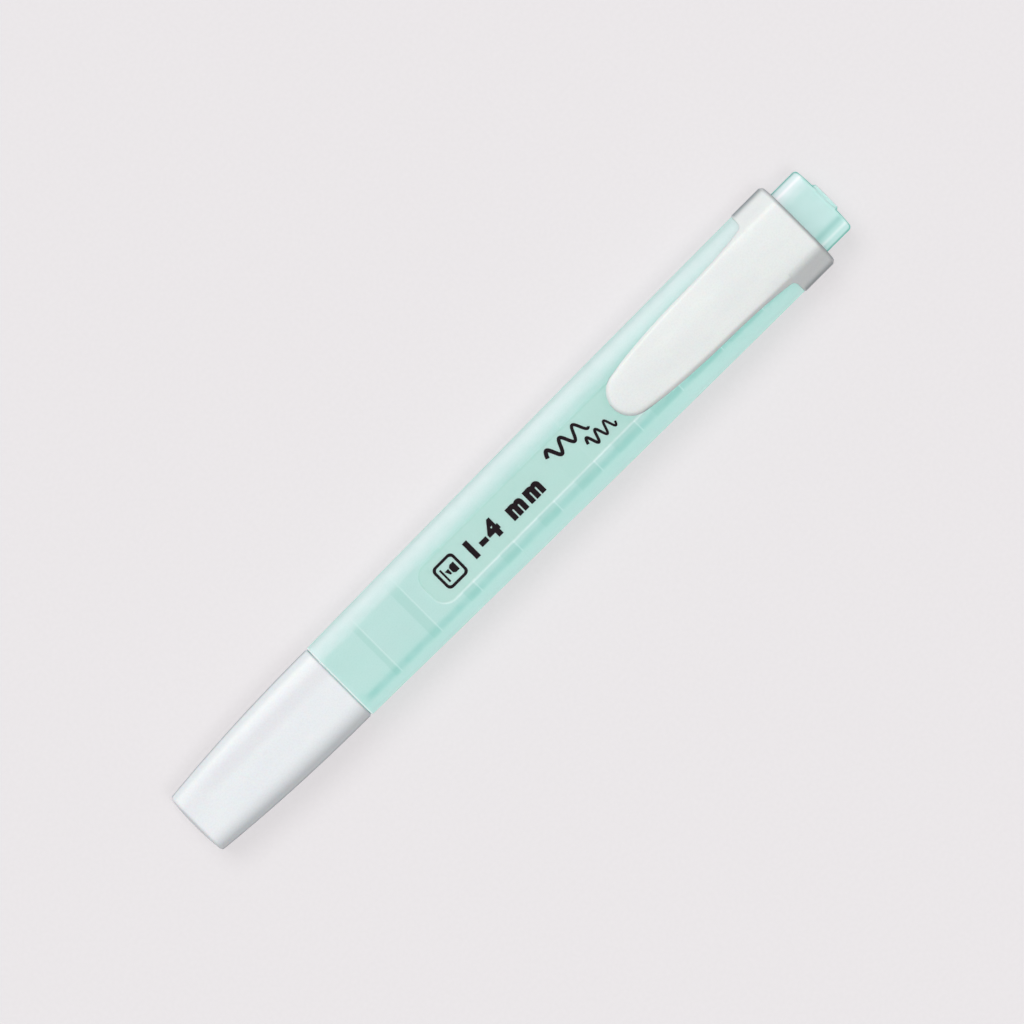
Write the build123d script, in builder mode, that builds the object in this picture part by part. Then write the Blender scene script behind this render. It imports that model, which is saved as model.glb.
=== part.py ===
"""Pocket highlighter with a flat-oval barrel, a pull-off cap and a spring clip. All sizes are in millimetres.

+X runs from the closed end of the cap to the end plug, +Y across the broad face and +Z up through the clip.
The origin lies on the flat face the pen rests on, under the middle of its overall length.
"""

import os

from build123d import *

# Overall sizes
OVERALL_LENGTH = 126.0
BODY_HEIGHT = 10.8
MID_Z = BODY_HEIGHT / 2
PEN_AXIS = Axis((0, 0, MID_Z), (1, 0, 0))
RUN_GAP = 0.05  # clearance on each side of parts that slide or seat in each other

# Stations along X, from the closed end of the cap to the pad on the end plug
CAP_END_X = -OVERALL_LENGTH / 2
CAP_LENGTH = 28.8
CAP_MOUTH_X = CAP_END_X + CAP_LENGTH
BARREL_FRONT_X = CAP_MOUTH_X + 0.1
COLLAR_FRONT_X = 51.2
COLLAR_REAR_X = 57.5
PAD_HEIGHT = 0.4
PLUG_END_X = OVERALL_LENGTH / 2 - PAD_HEIGHT

# Barrel outline: it widens from the cap to the collar
BARREL_FRONT_WIDTH = 13.1
BARREL_MIDDLE_X = 8.0
BARREL_MIDDLE_WIDTH = 14.1
BARREL_REAR_WIDTH = 14.7
BODY_CORNER = 4.0

# Barrel bore: short lands centre the reservoir, with relief grooves between them
LAND_WIDTH, LAND_HEIGHT, LAND_CORNER = 10.6, 7.6, 3.3
GROOVE_DEPTH = 0.3
LAND_COUNT = 10
LAND_PITCH = 8.0
FIRST_LAND_X = -26.9
FIRST_LAND_LENGTH = 6.6
LAND_SHORTENING = 0.6  # each land is this much shorter than the one before it
FIRST_GROOVE_GAP = 0.3  # between the front section's plug and the first groove

# Printing panel let into the broad face, running back under the clip
PANEL_FRONT_X, PANEL_REAR_X = -16.7, 49.5
PANEL_WIDTH = 6.6
PANEL_DEPTH = 0.12

# Cap: its width and height close in towards the end as a power of the distance from the mouth
CAP_MOUTH_WIDTH = BARREL_FRONT_WIDTH
CAP_END_WIDTH = 10.3
CAP_END_HEIGHT = 7.8
CAP_TAPER_POWER = 2.1
CAP_WALL = 0.8
CAP_END_WALL = 1.2
CAP_SECTIONS = 6
CAP_END_BULGE_RADIUS = 38.0
CAP_END_FILLET, CAP_MOUTH_FILLET = 0.55, 0.4
CAP_SEAT_DEPTH = 8.0
CAP_RIB_WIDTH = 1.2
CAP_RIB_REAR_X = -47.0

# Front section: a plug in the barrel, an oval seat for the cap and a round nose for the nib
SECTION_PLUG_LENGTH = 6.0
SECTION_SEAT_LENGTH = 7.0
SECTION_SEAT_FILLET = 0.6
SECTION_PLUG_CHAMFER = 0.3
NOSE_X = -50.6
NOSE_RADIUS = 2.95
NOSE_FILLET = 0.35
SEAL_RADIUS = 3.6
SEAL_FRONT_X = -46.0
SEAL_BEVEL_LENGTH, SEAL_BEVEL_DEPTH = 0.6, 0.3
VENT_WIDTH, VENT_DEPTH = 0.8, 0.45

# Nib: rectangular fibre bar with a slanted writing edge
NIB_WIDTH, NIB_THICKNESS, NIB_CORNER = 4.0, 2.8, 0.45
NIB_TIP_X, NIB_TAIL_X = -58.0, -22.0
NIB_SLANT = 2.6  # how much shorter one side of the writing edge is
NIB_TAIL_CHAMFER = 0.4

# Reservoir: fibre core in a film wrap
RESERVOIR_RADIUS = 3.55
FILM_GAP = 0.02
FILM_WALL = 0.13
RESERVOIR_FRONT_X, RESERVOIR_REAR_X = -28.0, 43.0

# Cap liner: thin cone that seals on the nose
LINER_MOUTH_X, LINER_END_X = -43.5, -61.6
LINER_MOUTH_RADIUS, LINER_END_RADIUS = 4.05, 2.85
LINER_WALL = 0.45

# Barrel spigot, plug and collar. The plug's skirt sits in the bore, and its head clamps the collar's lip
SPIGOT_WIDTH, SPIGOT_HEIGHT, SPIGOT_CORNER = 13.1, 9.0, 3.6
COLLAR_WIDTH = 15.0
COLLAR_LIP_X = 56.7
SPIGOT_REAR_X = COLLAR_LIP_X - RUN_GAP
SKIRT_WIDTH, SKIRT_HEIGHT, SKIRT_CORNER = 11.0, 7.6, 3.0
SKIRT_FRONT_X = 47.0
SKIRT_SOCKET_MARGIN = 0.5  # how far the skirt's socket runs on in front of it
PLUG_WALL = 0.9
PLUG_END_WALL = 1.2
PLUG_END_FILLET = 0.8
PLUG_STOP_RADIUS = 1.6
PAD_WIDTH, PAD_DEPTH_Z, PAD_CORNER, PAD_FILLET = 4.5, 4.2, 1.2, 0.2

# Clip: one springy tongue on the collar, with a knuckle that stands for its bending root
CLIP_TOP_Z = 13.4
PLATEAU_HALF_WIDTH = 4.6
PLATEAU_EDGE_RADIUS = 0.6
COLLAR_SHOULDER_Z = 8.0
COLLAR_REAR_RADIUS = 0.8
KNUCKLE_X, KNUCKLE_Z, KNUCKLE_RADIUS = 50.2, 12.65, 0.7
TONGUE_GAP_Z = 11.5  # underside of the collar's short nose over the barrel
TONGUE_TIP_X = 20.4
TIP_SHOULDER_X, TIP_HALF_WIDTH = 23.3, 3.45
TIP_FLARE = 0.6  # sideways run of the outline where the tip's arc ends
WAIST_X, WAIST_HALF_WIDTH = 35.0, 4.5
TIP_TOP_Z, TIP_THICKNESS = 12.75, 1.15
TIP_OVERRUN = 1.0  # how far the side profile runs on past the tip before the outline trims it
CLIP_BOW = 0.12
FOOT_X, FOOT_HALF_LENGTH, FOOT_WIDTH, FOOT_ROOT = 25.5, 2.2, 5.0, 0.3

# Catches that hold the collar on the barrel's spigot
CATCH_X, CATCH_LENGTH, CATCH_STAND, CATCH_HEIGHT = 53.8, 1.2, 0.35, 3.0
CATCH_GAP = 0.1


def oval(x, width, height, corner, mid_z=MID_Z):
    """The flat-oval section of the pen at station x."""
    with BuildSketch(Plane.YZ.offset(x)) as section:
        with Locations((0, mid_z)):
            RectangleRounded(width, height, corner)
    return section.sketch


def cap_section(x, inset=0.0):
    """The cap's section at station x, brought in all round by inset."""
    closing = ((CAP_MOUTH_X - x) / CAP_LENGTH) ** CAP_TAPER_POWER
    width = CAP_MOUTH_WIDTH - (CAP_MOUTH_WIDTH - CAP_END_WIDTH) * closing
    height = BODY_HEIGHT - (BODY_HEIGHT - CAP_END_HEIGHT) * closing
    corner = BODY_CORNER * height / BODY_HEIGHT
    return oval(x, width - 2 * inset, height - 2 * inset, corner - inset)


def stations(first, last, count):
    """Evenly spaced values from first to last."""
    return [first + (last - first) * i / (count - 1) for i in range(count)]


def cap_seat(x):
    """The oval that the cap's mouth slides over, on the front section and again on the plug's head."""
    gap = CAP_WALL + RUN_GAP
    return oval(x, CAP_MOUTH_WIDTH - 2 * gap, BODY_HEIGHT - 2 * gap, BODY_CORNER - gap)


def nib_section(x, gap=0.0):
    """The nib's section, grown all round by gap for the slots that hold it."""
    return oval(x, NIB_WIDTH + 2 * gap, NIB_THICKNESS + 2 * gap, NIB_CORNER)


# ---------------------------------------------------------------- cap shell
with BuildPart() as cap_cavity:
    inner_end_x = CAP_END_X + CAP_END_WALL
    seat_x = CAP_MOUTH_X - CAP_SEAT_DEPTH
    loft([cap_section(x, CAP_WALL) for x in stations(inner_end_x, seat_x, CAP_SECTIONS)])
    rib_length = CAP_RIB_REAR_X - inner_end_x
    for side in (-1, 1):
        rib_y = side * (LINER_MOUTH_RADIUS + RUN_GAP + CAP_MOUTH_WIDTH / 2)
        with Locations((inner_end_x + rib_length / 2, rib_y, MID_Z)):
            Box(rib_length, CAP_MOUTH_WIDTH, CAP_RIB_WIDTH, mode=Mode.SUBTRACT)
    extrude(
        oval(seat_x, CAP_MOUTH_WIDTH - 2 * CAP_WALL, BODY_HEIGHT - 2 * CAP_WALL, BODY_CORNER - CAP_WALL),
        amount=CAP_SEAT_DEPTH,
    )

with BuildPart() as cap_shell:
    loft([cap_section(x) for x in stations(CAP_END_X, CAP_MOUTH_X, CAP_SECTIONS)])
    with Locations((CAP_END_X + CAP_END_BULGE_RADIUS, 0, MID_Z)):
        Cylinder(CAP_END_BULGE_RADIUS, 2 * BODY_HEIGHT, mode=Mode.INTERSECT)
    fillet(cap_shell.faces().sort_by(Axis.X)[0].edges(), radius=CAP_END_FILLET)
    fillet(cap_shell.faces().sort_by(Axis.X)[-1].edges(), radius=CAP_MOUTH_FILLET)
    add(cap_cavity.part, mode=Mode.SUBTRACT)
cap_shell.part.label = "cap_shell"

# ---------------------------------------------------------------- cap liner
with BuildPart() as cap_liner:
    with BuildSketch(Plane.XZ):
        with BuildLine():
            Polyline(
                (LINER_MOUTH_X, MID_Z + LINER_MOUTH_RADIUS),
                (LINER_END_X, MID_Z + LINER_END_RADIUS),
                (LINER_END_X, MID_Z),
                (LINER_END_X + LINER_WALL, MID_Z),
                (LINER_END_X + LINER_WALL, MID_Z + LINER_END_RADIUS - LINER_WALL),
                (SEAL_FRONT_X, MID_Z + SEAL_RADIUS + RUN_GAP),
                (LINER_MOUTH_X, MID_Z + SEAL_RADIUS + RUN_GAP),
                close=True,
            )
        make_face()
    revolve(axis=PEN_AXIS)
cap_liner.part.label = "cap_liner"

# ---------------------------------------------------------------- front section
SECTION_SEAT_X = BARREL_FRONT_X - SECTION_SEAT_LENGTH
with BuildPart() as front_section:
    extrude(cap_seat(SECTION_SEAT_X), amount=SECTION_SEAT_LENGTH)
    fillet(front_section.faces().sort_by(Axis.X)[0].edges(), radius=SECTION_SEAT_FILLET)
    extrude(
        oval(BARREL_FRONT_X, LAND_WIDTH - 2 * RUN_GAP, LAND_HEIGHT - 2 * RUN_GAP, LAND_CORNER - RUN_GAP),
        amount=SECTION_PLUG_LENGTH,
    )
    chamfer(front_section.faces().sort_by(Axis.X)[-1].edges(), length=SECTION_PLUG_CHAMFER)
    with BuildSketch(Plane.XZ):
        with BuildLine():
            Polyline(
                (BARREL_FRONT_X, MID_Z),
                (BARREL_FRONT_X, MID_Z + SEAL_RADIUS),
                (SEAL_FRONT_X, MID_Z + SEAL_RADIUS),
                (SEAL_FRONT_X - SEAL_BEVEL_LENGTH, MID_Z + SEAL_RADIUS - SEAL_BEVEL_DEPTH),
                (NOSE_X, MID_Z + NOSE_RADIUS),
                (NOSE_X, MID_Z),
                close=True,
            )
        make_face()
    revolve(axis=PEN_AXIS)
    fillet(front_section.faces().sort_by(Axis.X)[0].edges(), radius=NOSE_FILLET)
    slot_length = BARREL_FRONT_X + SECTION_PLUG_LENGTH - NOSE_X
    extrude(nib_section(NOSE_X, RUN_GAP), amount=slot_length, mode=Mode.SUBTRACT)
    with Locations((NOSE_X, 0, MID_Z + NIB_THICKNESS / 2)):
        Box(
            slot_length,
            VENT_WIDTH,
            2 * VENT_DEPTH,
            align=(Align.MIN, Align.CENTER, Align.CENTER),
            mode=Mode.SUBTRACT,
        )
front_section.part.label = "front_section"

# ---------------------------------------------------------------- nib
with BuildPart() as nib:
    extrude(nib_section(NIB_TIP_X), amount=NIB_TAIL_X - NIB_TIP_X)
    with BuildSketch(Plane.XY.offset(MID_Z - NIB_THICKNESS)):
        with BuildLine():
            Polyline(
                (NIB_TIP_X - NIB_SLANT / 2, NIB_WIDTH),
                (NIB_TIP_X + NIB_SLANT * 1.5, -NIB_WIDTH),
                (NIB_TIP_X - NIB_SLANT, -NIB_WIDTH),
                close=True,
            )
        make_face()
    extrude(amount=2 * NIB_THICKNESS, mode=Mode.SUBTRACT)
    chamfer(nib.faces().sort_by(Axis.X)[-1].edges(), length=NIB_TAIL_CHAMFER)
nib.part.label = "nib"

# ---------------------------------------------------------------- reservoir and film
with BuildPart() as ink_reservoir:
    with BuildSketch(Plane.YZ.offset(RESERVOIR_FRONT_X)):
        with Locations((0, MID_Z)):
            Circle(RESERVOIR_RADIUS)
    extrude(amount=RESERVOIR_REAR_X - RESERVOIR_FRONT_X)
    pocket_depth = NIB_TAIL_X - RESERVOIR_FRONT_X + RUN_GAP
    extrude(nib_section(RESERVOIR_FRONT_X, RUN_GAP), amount=pocket_depth, mode=Mode.SUBTRACT)
ink_reservoir.part.label = "ink_reservoir"

with BuildPart() as reservoir_film:
    with BuildSketch(Plane.YZ.offset(RESERVOIR_FRONT_X)):
        with Locations((0, MID_Z)):
            Circle(RESERVOIR_RADIUS + FILM_GAP + FILM_WALL)
            Circle(RESERVOIR_RADIUS + FILM_GAP, mode=Mode.SUBTRACT)
    extrude(amount=RESERVOIR_REAR_X - RESERVOIR_FRONT_X)
reservoir_film.part.label = "reservoir_film"

# ---------------------------------------------------------------- barrel
with BuildPart() as barrel_bore:
    extrude(oval(BARREL_FRONT_X, LAND_WIDTH, LAND_HEIGHT, LAND_CORNER), amount=SPIGOT_REAR_X - BARREL_FRONT_X)
    groove_x = BARREL_FRONT_X + SECTION_PLUG_LENGTH + FIRST_GROOVE_GAP
    for i in range(LAND_COUNT):
        land_x = FIRST_LAND_X + LAND_PITCH * i
        groove = oval(groove_x, LAND_WIDTH + 2 * GROOVE_DEPTH, LAND_HEIGHT + 2 * GROOVE_DEPTH, LAND_CORNER)
        extrude(groove, amount=land_x - groove_x)
        groove_x = land_x + FIRST_LAND_LENGTH - LAND_SHORTENING * i
    socket_x = SKIRT_FRONT_X - SKIRT_SOCKET_MARGIN
    extrude(
        oval(socket_x, SKIRT_WIDTH + 2 * RUN_GAP, SKIRT_HEIGHT + 2 * RUN_GAP, SKIRT_CORNER),
        amount=SPIGOT_REAR_X - socket_x,
    )

with BuildPart() as barrel:
    with BuildSketch():
        with BuildLine():
            for side in (-1, 1):
                ThreePointArc(
                    (BARREL_FRONT_X, side * BARREL_FRONT_WIDTH / 2),
                    (BARREL_MIDDLE_X, side * BARREL_MIDDLE_WIDTH / 2),
                    (COLLAR_FRONT_X, side * BARREL_REAR_WIDTH / 2),
                )
            Line((BARREL_FRONT_X, -BARREL_FRONT_WIDTH / 2), (BARREL_FRONT_X, BARREL_FRONT_WIDTH / 2))
            Line((COLLAR_FRONT_X, -BARREL_REAR_WIDTH / 2), (COLLAR_FRONT_X, BARREL_REAR_WIDTH / 2))
        make_face()
    extrude(amount=BODY_HEIGHT)
    fillet(barrel.edges().filter_by(GeomType.CIRCLE), radius=BODY_CORNER)
    extrude(
        oval(COLLAR_FRONT_X, SPIGOT_WIDTH, SPIGOT_HEIGHT, SPIGOT_CORNER),
        amount=SPIGOT_REAR_X - COLLAR_FRONT_X,
    )
    with Locations((CATCH_X, 0, MID_Z)):
        Box(CATCH_LENGTH, SPIGOT_WIDTH + 2 * CATCH_STAND, CATCH_HEIGHT)
    add(barrel_bore.part, mode=Mode.SUBTRACT)
    with BuildSketch(Plane.XY.offset(BODY_HEIGHT)):
        with Locations(((PANEL_FRONT_X + PANEL_REAR_X) / 2, 0)):
            SlotOverall(PANEL_REAR_X - PANEL_FRONT_X, PANEL_WIDTH)
    extrude(amount=-PANEL_DEPTH, mode=Mode.SUBTRACT)
barrel.part.label = "barrel"

# ---------------------------------------------------------------- end plug
with BuildPart() as end_plug:
    head_x = COLLAR_REAR_X + RUN_GAP
    extrude(cap_seat(head_x), amount=PLUG_END_X - head_x)
    fillet(end_plug.faces().sort_by(Axis.X)[-1].edges(), radius=PLUG_END_FILLET)
    extrude(oval(SKIRT_FRONT_X, SKIRT_WIDTH, SKIRT_HEIGHT, SKIRT_CORNER), amount=head_x - SKIRT_FRONT_X)
    extrude(
        oval(
            SKIRT_FRONT_X,
            SKIRT_WIDTH - 2 * PLUG_WALL,
            SKIRT_HEIGHT - 2 * PLUG_WALL,
            SKIRT_CORNER - PLUG_WALL,
        ),
        amount=PLUG_END_X - PLUG_END_WALL - SKIRT_FRONT_X,
        mode=Mode.SUBTRACT,
    )
    stop_x = RESERVOIR_REAR_X + RUN_GAP
    with BuildSketch(Plane.YZ.offset(stop_x)):
        with Locations((0, MID_Z)):
            Circle(PLUG_STOP_RADIUS)
    extrude(amount=PLUG_END_X - PLUG_END_WALL - stop_x)
    extrude(oval(PLUG_END_X, PAD_WIDTH, PAD_DEPTH_Z, PAD_CORNER), amount=PAD_HEIGHT)
    fillet(end_plug.faces().sort_by(Axis.X)[-1].edges(), radius=PAD_FILLET)
end_plug.part.label = "end_plug"

# ---------------------------------------------------------------- clip collar
with BuildPart() as clip_collar:
    with BuildSketch(Plane.YZ.offset(COLLAR_FRONT_X)) as collar_outline:
        with BuildLine():
            Polyline(
                (-COLLAR_WIDTH / 2, 0),
                (COLLAR_WIDTH / 2, 0),
                (COLLAR_WIDTH / 2, COLLAR_SHOULDER_Z),
                (PLATEAU_HALF_WIDTH, CLIP_TOP_Z),
                (-PLATEAU_HALF_WIDTH, CLIP_TOP_Z),
                (-COLLAR_WIDTH / 2, COLLAR_SHOULDER_Z),
                close=True,
            )
        make_face()
        corners = collar_outline.vertices().group_by(Axis.Y)
        fillet(corners[0], radius=BODY_CORNER)
        corners = collar_outline.vertices().group_by(Axis.Y)
        fillet(corners[-1], radius=PLATEAU_EDGE_RADIUS)
    extrude(amount=COLLAR_REAR_X - COLLAR_FRONT_X)
    fillet(clip_collar.faces().sort_by(Axis.X)[-1].edges(), radius=COLLAR_REAR_RADIUS)
    nose_height = CLIP_TOP_Z - TONGUE_GAP_Z
    with Locations((KNUCKLE_X, 0, TONGUE_GAP_Z)):
        Box(
            COLLAR_FRONT_X - KNUCKLE_X,
            2 * PLATEAU_HALF_WIDTH,
            nose_height,
            align=(Align.MIN, Align.CENTER, Align.MIN),
        )
    with Locations(Location((KNUCKLE_X, 0, KNUCKLE_Z), (90, 0, 0))):
        Cylinder(KNUCKLE_RADIUS + RUN_GAP, 3 * PLATEAU_HALF_WIDTH, mode=Mode.SUBTRACT)
    extrude(
        oval(COLLAR_FRONT_X, SPIGOT_WIDTH + 2 * RUN_GAP, SPIGOT_HEIGHT + 2 * RUN_GAP, SPIGOT_CORNER),
        amount=COLLAR_LIP_X - COLLAR_FRONT_X,
        mode=Mode.SUBTRACT,
    )
    extrude(
        oval(COLLAR_LIP_X, SKIRT_WIDTH + 2 * RUN_GAP, SKIRT_HEIGHT + 2 * RUN_GAP, SKIRT_CORNER),
        amount=COLLAR_REAR_X - COLLAR_LIP_X,
        mode=Mode.SUBTRACT,
    )
    with Locations((CATCH_X, 0, MID_Z)):
        Box(
            CATCH_LENGTH + 2 * CATCH_GAP,
            SPIGOT_WIDTH + 2 * (CATCH_STAND + CATCH_GAP),
            CATCH_HEIGHT + 2 * CATCH_GAP,
            mode=Mode.SUBTRACT,
        )
clip_collar.part.label = "clip_collar"

# ---------------------------------------------------------------- clip tongue
knuckle_end_x = KNUCKLE_X + KNUCKLE_RADIUS
knuckle_top_z = KNUCKLE_Z + KNUCKLE_RADIUS
knuckle_low_z = KNUCKLE_Z - KNUCKLE_RADIUS
tip_end_x = TONGUE_TIP_X - TIP_OVERRUN
tip_low_z = TIP_TOP_Z - TIP_THICKNESS
foot_root_z = tip_low_z + FOOT_ROOT
bow_x = (KNUCKLE_X + TONGUE_TIP_X) / 2
with BuildPart() as clip_tongue:
    with BuildSketch(Plane.XY.offset(BODY_HEIGHT)):
        with BuildLine():
            ThreePointArc(
                (TIP_SHOULDER_X, TIP_HALF_WIDTH),
                (TONGUE_TIP_X, 0),
                (TIP_SHOULDER_X, -TIP_HALF_WIDTH),
            )
            for side in (-1, 1):
                Spline(
                    (TIP_SHOULDER_X, side * TIP_HALF_WIDTH),
                    (WAIST_X, side * WAIST_HALF_WIDTH),
                    (knuckle_end_x, side * PLATEAU_HALF_WIDTH),
                    tangents=((TIP_HALF_WIDTH, side * TIP_FLARE), (1, 0)),
                )
            Line((knuckle_end_x, -PLATEAU_HALF_WIDTH), (knuckle_end_x, PLATEAU_HALF_WIDTH))
        make_face()
    extrude(amount=CLIP_TOP_Z - BODY_HEIGHT)
    with BuildSketch(Plane.XZ):
        with BuildLine():
            ThreePointArc(
                (KNUCKLE_X, knuckle_top_z),
                (bow_x, (knuckle_top_z + TIP_TOP_Z) / 2 + CLIP_BOW),
                (tip_end_x, TIP_TOP_Z),
            )
            Line((tip_end_x, TIP_TOP_Z), (tip_end_x, tip_low_z))
            ThreePointArc(
                (tip_end_x, tip_low_z),
                (bow_x, (knuckle_low_z + tip_low_z) / 2 + CLIP_BOW),
                (KNUCKLE_X, knuckle_low_z),
            )
            ThreePointArc((KNUCKLE_X, knuckle_low_z), (knuckle_end_x, KNUCKLE_Z), (KNUCKLE_X, knuckle_top_z))
        make_face()
    extrude(amount=BODY_HEIGHT, both=True, mode=Mode.INTERSECT)
    with BuildSketch(Plane.XZ):
        with BuildLine():
            ThreePointArc(
                (FOOT_X - FOOT_HALF_LENGTH, foot_root_z),
                (FOOT_X, BODY_HEIGHT - PANEL_DEPTH + RUN_GAP),
                (FOOT_X + FOOT_HALF_LENGTH, foot_root_z),
            )
            Line((FOOT_X + FOOT_HALF_LENGTH, foot_root_z), (FOOT_X - FOOT_HALF_LENGTH, foot_root_z))
        make_face()
    extrude(amount=FOOT_WIDTH / 2, both=True)
clip_tongue.part.label = "clip_tongue"

os.makedirs("parts", exist_ok=True)
for piece in (
    cap_shell,
    cap_liner,
    front_section,
    nib,
    ink_reservoir,
    reservoir_film,
    barrel,
    end_plug,
    clip_collar,
    clip_tongue,
):
    export_step(piece.part, f"parts/{piece.part.label}.step")
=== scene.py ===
"""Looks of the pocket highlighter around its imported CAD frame: smooth shells, print, plastics and studio.

Lengths are in millimetres until a mesh is made. +X runs from the cap to the end plug, +Z up through the clip.
"""

import math

import bmesh
import bpy
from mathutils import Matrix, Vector


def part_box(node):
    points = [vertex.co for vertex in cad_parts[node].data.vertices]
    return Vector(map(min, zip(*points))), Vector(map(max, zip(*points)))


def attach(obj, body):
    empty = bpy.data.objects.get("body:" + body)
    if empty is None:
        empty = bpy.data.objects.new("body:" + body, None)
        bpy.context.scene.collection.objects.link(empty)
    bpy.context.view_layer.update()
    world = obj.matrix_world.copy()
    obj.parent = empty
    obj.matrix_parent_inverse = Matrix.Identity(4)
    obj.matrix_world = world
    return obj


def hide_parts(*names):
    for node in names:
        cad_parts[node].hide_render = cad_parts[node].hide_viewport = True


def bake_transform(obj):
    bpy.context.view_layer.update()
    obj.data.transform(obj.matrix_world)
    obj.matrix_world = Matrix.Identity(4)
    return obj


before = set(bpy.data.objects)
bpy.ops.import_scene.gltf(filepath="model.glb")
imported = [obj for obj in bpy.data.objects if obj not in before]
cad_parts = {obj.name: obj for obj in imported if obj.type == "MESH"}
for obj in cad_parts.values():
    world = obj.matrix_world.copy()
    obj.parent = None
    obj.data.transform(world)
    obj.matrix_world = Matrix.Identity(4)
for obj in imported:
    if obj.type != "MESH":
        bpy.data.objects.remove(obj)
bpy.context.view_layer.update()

MM = 0.001
QUARTER = math.pi / 2
RING_POINTS = 128
SHARP_ANGLE = math.radians(38)


# ------ sizes taken from the frame
def box_mm(node):
    """Lowest and highest corner of a CAD node, in millimetres."""
    low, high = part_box(node)
    return low / MM, high / MM


barrel_low, barrel_high = box_mm("barrel")
cap_low, cap_high = box_mm("cap_shell")
collar_low, collar_high = box_mm("clip_collar")
tongue_low = box_mm("clip_tongue")[0]
plug_low, plug_high = box_mm("end_plug")
front_low, front_high = box_mm("front_section")
nib_low, nib_high = box_mm("nib")
core_low, core_high = box_mm("ink_reservoir")

BODY_HEIGHT = barrel_high.z
MID_Z = BODY_HEIGHT / 2
BODY_CORNER, REAR_CORNER = 3.3, 4.45
RUN_GAP = 0.05
COLLAR_NOSE = 1.1
COLLAR_FRONT_X = collar_low.x + COLLAR_NOSE
COLLAR_LIP_X = barrel_high.x + RUN_GAP
HEAD_X = collar_high.x + RUN_GAP

# an oval is (width, height, corner radius)
SEAT = (plug_high.y - plug_low.y, plug_high.z - plug_low.z, 3.15)
BORE = (10.6, 7.6, 3.3)
SPIGOT = (13.1, 9.0, 3.6)
SKIRT = (11.0, 7.6, 3.0)


def drawn_in(sizes, by):
    """An oval's sizes brought in all round."""
    width, height, corner = sizes
    return width - 2 * by, height - 2 * by, corner - by


def eased(sizes, by=RUN_GAP):
    """An oval's sizes with a gap on every side and the same corners."""
    width, height, corner = sizes
    return width + 2 * by, height + 2 * by, corner


# ------ mesh helpers
def steps(first, last, count):
    """Evenly spaced values from first to last, both included."""
    return [first + (last - first) * i / (count - 1) for i in range(count)]


def smooth(t):
    """A soft step from 0 to 1."""
    t = min(1.0, max(0.0, t))
    return t * t * (3 - 2 * t)


def oval_point(s, width, height, corner):
    """The point at share s of the way round an oval, from the middle of its +Y side towards +Z."""
    flat_y, flat_z = width / 2 - corner, height / 2 - corner
    arc = QUARTER * corner
    quarter = flat_z + arc + flat_y
    turn = (s % 1.0) * 4
    index = int(turn)
    along = (turn - index) * quarter
    if index in (1, 3):
        along = quarter - along
    if along < flat_z:
        y, z = width / 2, along
    elif along < flat_z + arc:
        angle = (along - flat_z) / corner
        y, z = flat_y + corner * math.cos(angle), flat_z + corner * math.sin(angle)
    else:
        y, z = quarter - along, height / 2
    return (y if index in (0, 3) else -y, z if index in (0, 1) else -z)


def oval(x, width, height, corner, count=RING_POINTS, start=0.0):
    """A ring of points round the pen's axis at station x, from share start of the way round."""
    ring = []
    for i in range(count):
        y, z = oval_point(start + i / count, width, height, corner)
        ring.append((x, y, MID_Z + z))
    return ring


def round_ring(x, radius):
    """A circular ring round the pen's axis at station x."""
    return oval(x, 2 * radius, 2 * radius, radius)


def quarter_round(radius, count):
    """(advance, inset) pairs of a rounded edge, from the side round to the end face."""
    angles = steps(0.0, QUARTER, count)
    return [(radius - radius * math.sin(a), radius - radius * math.cos(a)) for a in angles]


def at(x, ring):
    """The same ring moved to station x."""
    return [(x, y, z) for _, y, z in ring]


def shrink(ring, share, x):
    """The same ring drawn in to a share of its size and moved to station x."""
    return [(x, y * share, MID_Z + (z - MID_Z) * share) for _, y, z in ring]


def link(name, data):
    """Puts a new object with this data in the scene."""
    made = bpy.data.objects.new(name, data)
    bpy.context.scene.collection.objects.link(made)
    return made


def weld(mesh, distance, thin=0.0):
    """Merges points that coincide, clears faces thinner than thin and turns the rest outward."""
    work = bmesh.new()
    work.from_mesh(mesh)
    bmesh.ops.remove_doubles(work, verts=work.verts, dist=distance)
    if thin:
        bmesh.ops.dissolve_degenerate(work, edges=work.edges, dist=thin)
    bmesh.ops.recalc_face_normals(work, faces=work.faces)
    work.to_mesh(mesh)
    work.free()


def link_mesh(name, points, faces):
    """Makes a smooth-shaded object from points in millimetres."""
    mesh = bpy.data.meshes.new(name)
    mesh.from_pydata([Vector(p) * MM for p in points], [], faces)
    weld(mesh, 1e-7, 1e-8)
    mesh.polygons.foreach_set("use_smooth", [True] * len(mesh.polygons))
    mesh.set_sharp_from_angle(angle=SHARP_ANGLE)
    return link(name, mesh)


def skin(name, rings, loop=False):
    """A closed surface through equal rings, its ends capped or joined to each other in a loop."""
    count = len(rings[0])
    points = [p for ring in rings for p in ring]
    faces = []
    pairs = len(rings) if loop else len(rings) - 1
    for i in range(pairs):
        here, there = i * count, (i + 1) % len(rings) * count
        for j in range(count):
            k = (j + 1) % count
            faces.append((here + j, here + k, there + k, there + j))
    if not loop:
        faces.append(tuple(range(count)))
        last = (len(rings) - 1) * count
        faces.append(tuple(last + j for j in range(count)))
    return link_mesh(name, points, faces)


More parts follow.
